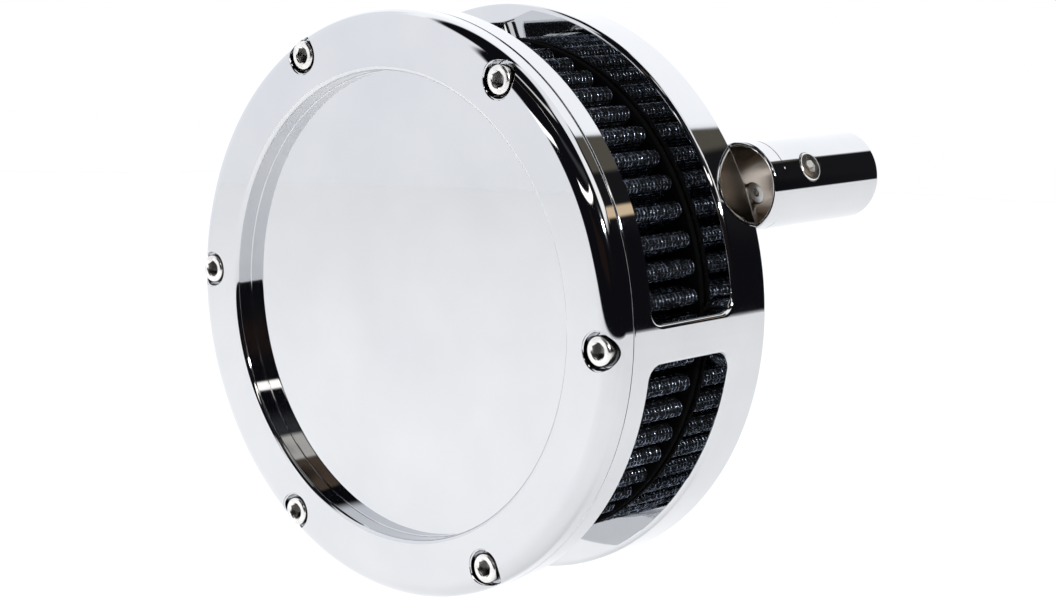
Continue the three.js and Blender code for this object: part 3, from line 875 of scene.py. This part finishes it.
def build_media():
    low, high, _ = box_mm("filter_media")
    outer = pleat_outline(MEDIA_HALF_THICKNESS)
    inner = pleat_outline(-MEDIA_HALF_THICKNESS)
    count = len(outer)
    rows = 10
    heights = [low.y + (high.y - low.y) * row / rows for row in range(rows + 1)]
    bm = bmesh.new()
    sheets = [[[bm.verts.new((x, y, z)) for x, z in line] for y in heights] for line in (outer, inner)]
    around = np.concatenate([[0], np.cumsum(np.linalg.norm(np.diff(outer, axis=0), axis=1))])
    layer = bm.loops.layers.uv.new("weave")
    for sheet in sheets:
        for row in range(rows):
            for i in range(count):
                j = (i + 1) % count
                face = bm.faces.new([sheet[row][i], sheet[row][j], sheet[row + 1][j], sheet[row + 1][i]])
                ends = [(around[i], heights[row]), (around[j], heights[row]),
                        (around[j], heights[row + 1]), (around[i], heights[row + 1])]
                for loop, uv in zip(face.loops, ends):
                    loop[layer].uv = uv
    for row in (0, rows):
        for i in range(count):
            j = (i + 1) % count
            bm.faces.new([sheets[0][row][i], sheets[0][row][j], sheets[1][row][j], sheets[1][row][i]])
    bmesh.ops.recalc_face_normals(bm, faces=bm.faces)
    media = make_object("filter_media_fine", bm)
    smooth_by_angle(media, 50)
    place(media, "filter_media", GAUZE)


def evenly(points, pitch):
    """A closed line's points at an even pitch, an even number of them, and its outward normals."""
    closed = np.vstack([points, points[:1]])
    lengths = np.linalg.norm(np.diff(closed, axis=0), axis=1)
    along = np.concatenate([[0], np.cumsum(lengths)])
    count = 2 * round(along[-1] / pitch / 2)
    at = np.arange(count) * along[-1] / count
    even = np.stack([np.interp(at, along, closed[:, k]) for k in (0, 1)], axis=1)
    tangent = np.roll(even, -1, axis=0) - np.roll(even, 1, axis=0)
    tangent /= np.linalg.norm(tangent, axis=1)[:, None]
    return even, np.stack([tangent[:, 1], -tangent[:, 0]], axis=1)


def wire_tubes(centres, first_axis, second_axis, closed):
    """Square-section wires through a grid of centres, one wire for each row of the grid."""
    wires, steps, _ = centres.shape
    section = [(1, 0), (0, 1), (-1, 0), (0, -1)]
    corners = [centres + WIRE_RADIUS * (a * first_axis + b * second_axis) for a, b in section]
    vertices = np.stack(corners, axis=2).reshape(-1, 3)
    spans = steps if closed else steps - 1
    wire_index = np.arange(wires)[:, None, None]
    step = np.arange(spans)[None, :, None]
    k = np.arange(4)[None, None, :]
    following = (step + 1) % steps

    def index(at_step, corner):
        return (wire_index * steps + at_step) * 4 + corner

    faces = np.stack([index(step, k), index(step, (k + 1) % 4),
                      index(following, (k + 1) % 4), index(following, k)], axis=-1).reshape(-1, 4)
    return vertices, faces


def build_screen(node, offset, pitch):
    """A woven screen of real wires that follows the pleats on one side of the gauze."""
    low, high, _ = box_mm(node)
    line, outward = evenly(pleat_outline(offset), pitch)
    rows = int((high.y - low.y - 2 * WIRE_RADIUS) / pitch) + 1
    margin = (high.y - low.y - (rows - 1) * pitch) / 2
    heights = low.y + margin + pitch * np.arange(rows)
    count = len(line)
    base = np.zeros((count, rows, 3))
    base[:, :, 0] = line[:, 0][:, None]
    base[:, :, 2] = line[:, 1][:, None]
    base[:, :, 1] = heights[None, :]
    normal = np.zeros((count, rows, 3))
    normal[:, :, 0] = outward[:, 0][:, None]
    normal[:, :, 2] = outward[:, 1][:, None]
    side = np.stack([-normal[:, :, 2], np.zeros((count, rows)), normal[:, :, 0]], axis=2)
    up = np.zeros_like(base)
    up[:, :, 1] = 1
    sign = np.where((np.arange(count)[:, None] + np.arange(rows)[None, :]) % 2, 1, -1)[:, :, None]
    lift = WEAVE_RISE * sign * normal
    vertices, faces = wire_tubes(base + lift, normal, side, False)
    turn = (1, 0, 2)
    hoop_centres = (base - lift).transpose(turn)
    hoops, hoop_faces = wire_tubes(hoop_centres, normal.transpose(turn), up.transpose(turn), True)
    faces = np.vstack([faces, hoop_faces + len(vertices)])
    vertices = np.vstack([vertices, hoops])
    mesh = bpy.data.meshes.new(f"{node}_fine")
    mesh.from_pydata(vertices.tolist(), [], faces.tolist())
    screen = bpy.data.objects.new(f"{node}_fine", mesh)
    bpy.context.scene.collection.objects.link(screen)
    mesh.shade_smooth()
    place(screen, node, WIRE)


# ---- Tubes, their screws, plugs, bushes, seals and brackets ----


def side_frame(side):
    """The tube's distance from the air cleaner's axis, and the turn that puts +X along it."""
    _, _, middle = box_mm(f"breather_tube_{side}")
    angle = math.atan2(middle.z, middle.x)
    return math.hypot(middle.x, middle.z), Matrix.Rotation(-angle, 4, "Y")


def cross_rod(name, radius, x0, x1, segments=SCREW_SEGMENTS):
    """A rod along X at the height of the tube's cross holes."""
    obj = rod(name, radius, x0, x1, segments=segments)
    quarter = Matrix.Rotation(-math.pi / 2, 4, "Z")
    obj.data.transform(Matrix.Translation((0, CROSS_HOLE_Y, 0)) @ quarter)
    return obj


def build_tube(side):
    node = f"breather_tube_{side}"
    low, high, _ = box_mm(node)
    distance, turn = side_frame(side)
    groove = 0.16
    outline = [
        (TUBE_BORE, low.y, 0.55),
        (TUBE_RADIUS, low.y, 0.6),
        (TUBE_RADIUS, TUBE_JOINT_Y - groove, 0),
        (TUBE_RADIUS - groove, TUBE_JOINT_Y, 0),
        (TUBE_RADIUS, TUBE_JOINT_Y + groove, 0),
        (TUBE_RADIUS, high.y, 1.2),
        (TUBE_BORE, high.y, 0.1),
    ]
    tube = turned(f"{node}_fine", outline, TUBE_SEGMENTS, steps=8)
    plug_hole = cross_rod("plug_hole", PLUG_RADIUS + CLEARANCE, 0, TUBE_RADIUS + CUT_OVERSHOOT)
    retaining_hole = cross_rod("hole", RETAINING_SHANK + CLEARANCE, -TUBE_RADIUS - CUT_OVERSHOOT, 0)
    cut(tube, [plug_hole, retaining_hole])
    arcs = [(TUBE_RADIUS - 0.6, low.y + 0.6, 0.6), (TUBE_BORE + 0.55, low.y + 0.55, 0.55),
            (TUBE_RADIUS - 1.2, high.y - 1.2, 1.2)]
    turned_normals(tube, arcs)
    place(tube, node, TUBE_CHROME, turn @ Matrix.Translation((distance, 0, 0)))


def cross_piece(name, corners, distance_along, socket, socket_depth):
    """A small turned piece across the tube, its face at local y = 0 looking away along -Y."""
    piece = turned(name, corners, SCREW_SEGMENTS, steps=6)
    hole = prism("socket", hexagon(socket), -1, socket_depth)
    cut(piece, [hole])
    smooth_by_angle(piece)
    face_out = Matrix.Rotation(math.pi / 2, 4, "Z")
    piece.data.transform(Matrix.Translation((distance_along, CROSS_HOLE_Y, 0)) @ face_out)
    return piece


def build_plug(side):
    distance, turn = side_frame(side)
    face = distance + TUBE_RADIUS + 0.1
    corners = [(0, 0, 0), (PLUG_RADIUS, 0, 0.6), (PLUG_RADIUS, 1.8, 0.15), (0, 1.8, 0)]
    plug = cross_piece(f"tube_access_plug_{side}_fine", corners, face, 2.1, 1.1)
    place(plug, f"tube_access_plug_{side}", SCREW_STEEL, turn)


def build_retaining_screw(side):
    distance, turn = side_frame(side)
    head_top = distance - TUBE_BORE + 0.9 + 2
    shank = RETAINING_SHANK
    corners = [(0, 0, 0), (3.6, 0, 0.5), (3.6, 2, 0.1), (shank, 2, 0), (shank, 11, 0.4), (0, 11, 0)]
    screw = cross_piece(f"tube_retaining_screw_{side}_fine", corners, head_top, 1.5, 1)
    place(screw, f"tube_retaining_screw_{side}", SCREW_STEEL, turn)


def build_bush(side):
    node = f"tube_end_bush_{side}"
    low, high, _ = box_mm(node)
    distance, turn = side_frame(side)
    outer = TUBE_BORE - CLEARANCE
    outline = [(6.6, low.y, 0.5), (outer, low.y, 0.4), (outer, high.y, 0.2), (9.8, high.y, 0),
               (9.8, high.y - 1.4, 0), (7.6, high.y - 1.4, 0), (7.6, high.y, 0), (6.6, high.y, 0.2)]
    bush = turned(f"{node}_fine", outline, 96, steps=5)
    turned_normals(bush)
    place(bush, node, ALUMINIUM, turn @ Matrix.Translation((distance, 0, 0)))


def build_end_seal(side):
    node = f"tube_end_seal_{side}"
    low, high, middle = box_mm(node)
    distance, turn = side_frame(side)
    seal = seal_ring(f"{node}_fine", 8.7, (high.y - low.y) / 2, middle.y, 72)
    place(seal, node, SEAL_RUBBER, turn @ Matrix.Translation((distance, 0, 0)))


def block(name, x0, x1, y0, y1, half_z, corner):
    """A block with rounded corners as seen from behind."""
    outline = rounded([(x0, -half_z, corner), (x1, -half_z, 0), (x1, half_z, 0), (x0, half_z, corner)], 8)
    return prism(name, outline, y0, y1)


def build_bracket(side):
    distance, turn = side_frame(side)
    front = 0.3
    clear = TUBE_RADIUS + CLEARANCE
    saddle_end = distance - math.sqrt(clear**2 - 8**2)
    foot = block(f"tube_bracket_{side}_fine", 46, distance - clear, front, front + 6, 11, 3)
    saddle = block("saddle", 62, saddle_end, front + 0.05, front + 24, 8, 1.5)
    combine(foot, [saddle], "UNION")
    tube_space = rod("tube_space", clear, -1, 40, distance, 0, TUBE_SEGMENTS)
    retaining_hole = cross_rod("hole", RETAINING_SHANK + CLEARANCE, 66, distance)
    holes = [rod("hole", BRACKET_SHANK + CLEARANCE, -1, 8, 52, across) for across in (-6.5, 6.5)]
    cut(foot, [tube_space, retaining_hole, *holes])
    bevel = foot.modifiers.new("edges", "BEVEL")
    bevel.width = 0.35
    bevel.segments = 2
    bevel.angle_limit = math.radians(50)
    combine(foot, [], "UNION")
    smooth_by_angle(foot, 40)
    place(foot, f"tube_bracket_{side}", ALUMINIUM, turn)


# ---- Studio ----

CAMERA_TARGET = Vector((0.0298, -0.0397, 0.0034))
CAMERA_DISTANCE = 0.761
CAMERA_AZIMUTH = math.radians(42.98)
CAMERA_ELEVATION = math.radians(10.56)
CAMERA_ROLL = math.radians(1.74)
CAMERA_LENS = 86.67
FLOOR_DROP = 0.16  # of the floor below the object
FLOOR_RADIUS = 2.05
FLOOR_SEGMENTS = 96


def build_camera():
    azimuth, elevation = CAMERA_AZIMUTH, CAMERA_ELEVATION
    back = Vector((math.sin(azimuth) * math.cos(elevation), -math.cos(azimuth) * math.cos(elevation),
                   math.sin(elevation)))
    level = Vector((math.cos(azimuth), math.sin(azimuth), 0))
    upright = back.cross(level)
    right = math.cos(CAMERA_ROLL) * level + math.sin(CAMERA_ROLL) * upright
    up = back.cross(right)
    data = bpy.data.cameras.new("camera")
    data.lens = CAMERA_LENS
    data.sensor_width = 36
    data.clip_start = 0.01
    camera = bpy.data.objects.new("camera", data)
    rotation = Matrix((right, up, back)).transposed().to_4x4()
    camera.matrix_world = Matrix.Translation(CAMERA_TARGET + back * CAMERA_DISTANCE) @ rotation
    bpy.context.scene.collection.objects.link(camera)
    bpy.context.scene.camera = camera


def build_floor():
    """A round sheet of white paper; the room's far side shows above its edge."""
    bm = bmesh.new()
    height = cad_bounds[0].z - FLOOR_DROP
    rim = [TAU * i / FLOOR_SEGMENTS for i in range(FLOOR_SEGMENTS)]
    edge = [(FLOOR_RADIUS * math.cos(a), FLOOR_RADIUS * math.sin(a), height) for a in rim]
    bm.faces.new([bm.verts.new(point) for point in edge])
    floor = make_object("floor", bm)
    n = Nodes("floor_paper")
    n.link(n.ramp(n.noise(3, 4), (0.88, 0.88, 0.885), (0.91, 0.91, 0.915)), n.shader.inputs["Base Color"])
    n.shader.inputs["Roughness"].default_value = 0.9
    n.link(n.bump(n.noise(900, 3), 0.05, 0.0002), n.shader.inputs["Normal"])
    floor.data.materials.append(n.material)


# What surrounds the object, each as (direction, half its width, lowest, highest edge, softness, colour),
# in degrees. Directions go round from +X towards +Y: the white backdrop is behind the object, the dark
# room is on the camera's side, and the last entries are lamps and warm-coloured things in that room.
ROOM = (0.006, 0.006, 0.008)
PANELS = [
    ("backdrop", 154, 82, -91, 55, 4, (1.30, 1.31, 1.34)),
    ("backdrop end", 210, 28, -20, 55, 3, (1.10, 1.11, 1.15)),
    ("backdrop fold", 173, 9, -20, 45, 4, (1.06, 1.09, 1.15)),
    ("sweep", 180, 181, -91, -7, 0.8, (1.09, 1.10, 1.13)),
    ("ceiling panel", 57, 45, 47, 72, 3, (1.15, 1.16, 1.18)),
    ("side panel", 31, 17, 28, 50, 2.5, (1.27, 1.26, 1.24)),
    ("door", 63, 10, -7, 46, 1.5, (0.012, 0.012, 0.014)),
    ("brown board", 68, 5.5, 33, 41, 0.8, (0.11, 0.10, 0.08)),
    ("warm board", 52.5, 4, 23, 25.6, 0.5, (0.85, 0.64, 0.42)),
    ("brown shelf", 307, 17, 8, 21, 3, (0.017, 0.010, 0.009)),
    ("ceiling lamp", 300, 42, 67, 72, 1.5, (0.95, 0.93, 0.9)),
    ("room glow", 320, 30, 42, 49, 3, (0.05, 0.052, 0.055)),
]
# Long lamps that slope, each as (start direction, start height, end direction, end height, half thickness).
LAMPS = [
    (284, 24, 346, 42, 1.7, (2.4, 2.3, 2.15)),
    (237, 2, 259, 18, 1.5, (2.4, 2.35, 2.3)),
    (275, 49.5, 291, 46.5, 0.7, (0.85, 0.8, 0.74)),
    (250, 47, 275, 49.5, 0.8, (0.12, 0.085, 0.06)),
]


def build_world():
    """A white set with a dark room on the camera's side, by direction."""
    world = bpy.data.worlds.new("studio")
    bpy.context.scene.world = world
    world.use_nodes = True
    tree = world.node_tree
    background = tree.nodes["Background"]

    def calculate(operation, *values):
        node = tree.nodes.new("ShaderNodeMath")
        node.operation = operation
        for socket, value in zip(node.inputs, values):
            if isinstance(value, (int, float)):
                socket.default_value = value
            else:
                tree.links.new(value, socket)
        return node.outputs["Value"]

    def rise(value, edge, softness):
        """0 below an edge and 1 above it."""
        node = tree.nodes.new("ShaderNodeMapRange")
        node.interpolation_type = "SMOOTHSTEP"
        node.inputs["From Min"].default_value = math.radians(edge - softness)
        node.inputs["From Max"].default_value = math.radians(edge + softness)
        tree.links.new(value, node.inputs["Value"])
        return node.outputs["Result"]

    def mix(factor, first, second):
        node = tree.nodes.new("ShaderNodeMix")
        node.data_type = "RGBA"
        tree.links.new(factor, node.inputs["Factor"])
        for name, value in (("A", first), ("B", second)):
            socket = next(s for s in node.inputs if s.name == name and s.type == "RGBA")
            if isinstance(value, tuple):
                socket.default_value = (*value, 1)
            else:
                tree.links.new(value, socket)
        return next(s for s in node.outputs if s.type == "RGBA")

    direction = tree.nodes.new("ShaderNodeTexCoord").outputs["Generated"]
    parts = tree.nodes.new("ShaderNodeSeparateXYZ")
    tree.links.new(direction, parts.inputs[0])
    x, y, z = parts.outputs
    height = calculate("ARCSINE", z)
    around = calculate("ARCTAN2", y, x)

    def inside(middle, half_width, softness):
        """1 within a range of directions, with how far off its middle each direction is."""
        off = calculate("WRAP", calculate("SUBTRACT", around, math.radians(middle)), math.pi, -math.pi)
        outside = rise(calculate("ABSOLUTE", off), half_width, softness)
        return calculate("SUBTRACT", 1, outside), off

    colour = ROOM
    for _, middle, half_width, low, high, softness, panel_colour in PANELS:
        mask, _ = inside(middle, half_width, softness)
        mask = calculate("MULTIPLY", mask, rise(height, low, softness))
        mask = calculate("MULTIPLY", mask, calculate("SUBTRACT", 1, rise(height, high, softness)))
        colour = mix(mask, colour, panel_colour)
    for start, start_height, end, end_height, half_thickness, lamp_colour in LAMPS:
        mask, off = inside((start + end) / 2, (end - start) / 2, 1.5)
        slope = (end_height - start_height) / (end - start)
        middle_height = math.radians((start_height + end_height) / 2)
        line = calculate("MULTIPLY_ADD", off, slope, middle_height)
        distance = calculate("ABSOLUTE", calculate("SUBTRACT", height, line))
        near = calculate("SUBTRACT", 1, rise(distance, half_thickness, half_thickness / 3))
        colour = mix(calculate("MULTIPLY", mask, near), colour, lamp_colour)
    seen = tree.nodes.new("ShaderNodeLightPath").outputs["Is Camera Ray"]
    tree.links.new(mix(seen, colour, (1, 1, 1)), background.inputs["Color"])


def soft_light(name, location, aim, size, power):
    """A square lamp that mirrors don't show, unless its caller makes it visible to them."""
    data = bpy.data.lights.new(name, "AREA")
    data.size = size
    data.energy = power
    light = bpy.data.objects.new(name, data)
    light.location = location
    light.rotation_mode = "QUATERNION"
    light.rotation_quaternion = (Vector(aim) - Vector(location)).to_track_quat("-Z", "Y")
    light.visible_glossy = False
    bpy.context.scene.collection.objects.link(light)
    return light


FILL_STRENGTH = 2.02
FILL_SPREAD = math.radians(60)


def build_sun():
    """Broad, soft daylight from above, which the mirrors don't show."""
    data = bpy.data.lights.new("fill", "SUN")
    data.energy = FILL_STRENGTH
    data.angle = FILL_SPREAD
    light = bpy.data.objects.new("fill", data)
    light.rotation_euler = (math.radians(8), math.radians(-12), 0)
    light.visible_glossy = False
    bpy.context.scene.collection.objects.link(light)


def build_studio():
    build_camera()
    build_floor()
    build_world()
    build_sun()
    soft_light("floor lamp", (-0.5, -0.55, 0.85), (-0.5, -0.55, 0), 0.8, 3.7)
    glint = soft_light("glint", (0.75, -0.15, 0.42), CAMERA_TARGET, 0.05, 9)
    glint.visible_glossy = True
    glint.visible_diffuse = False
    bpy.context.scene.view_settings.view_transform = "Standard"


# ---- Everything ----

build_studio()
build_cover()
build_cap_screws()
build_housing()
build_inlet()
build_throttle_seal()
build_cap("filter_front_cap", (64, 68, 72))
build_cap("filter_rear_cap", (66, 71))
build_media()
build_screen("filter_outer_screen", SCREEN_OFFSET, WIRE_PITCH)
build_screen("filter_inner_screen", -SCREEN_OFFSET, 2 * WIRE_PITCH)
for side in SIDES:
    build_tube(side)
    build_plug(side)
    build_retaining_screw(side)
    build_bush(side)
    build_end_seal(side)
    build_bracket(side)
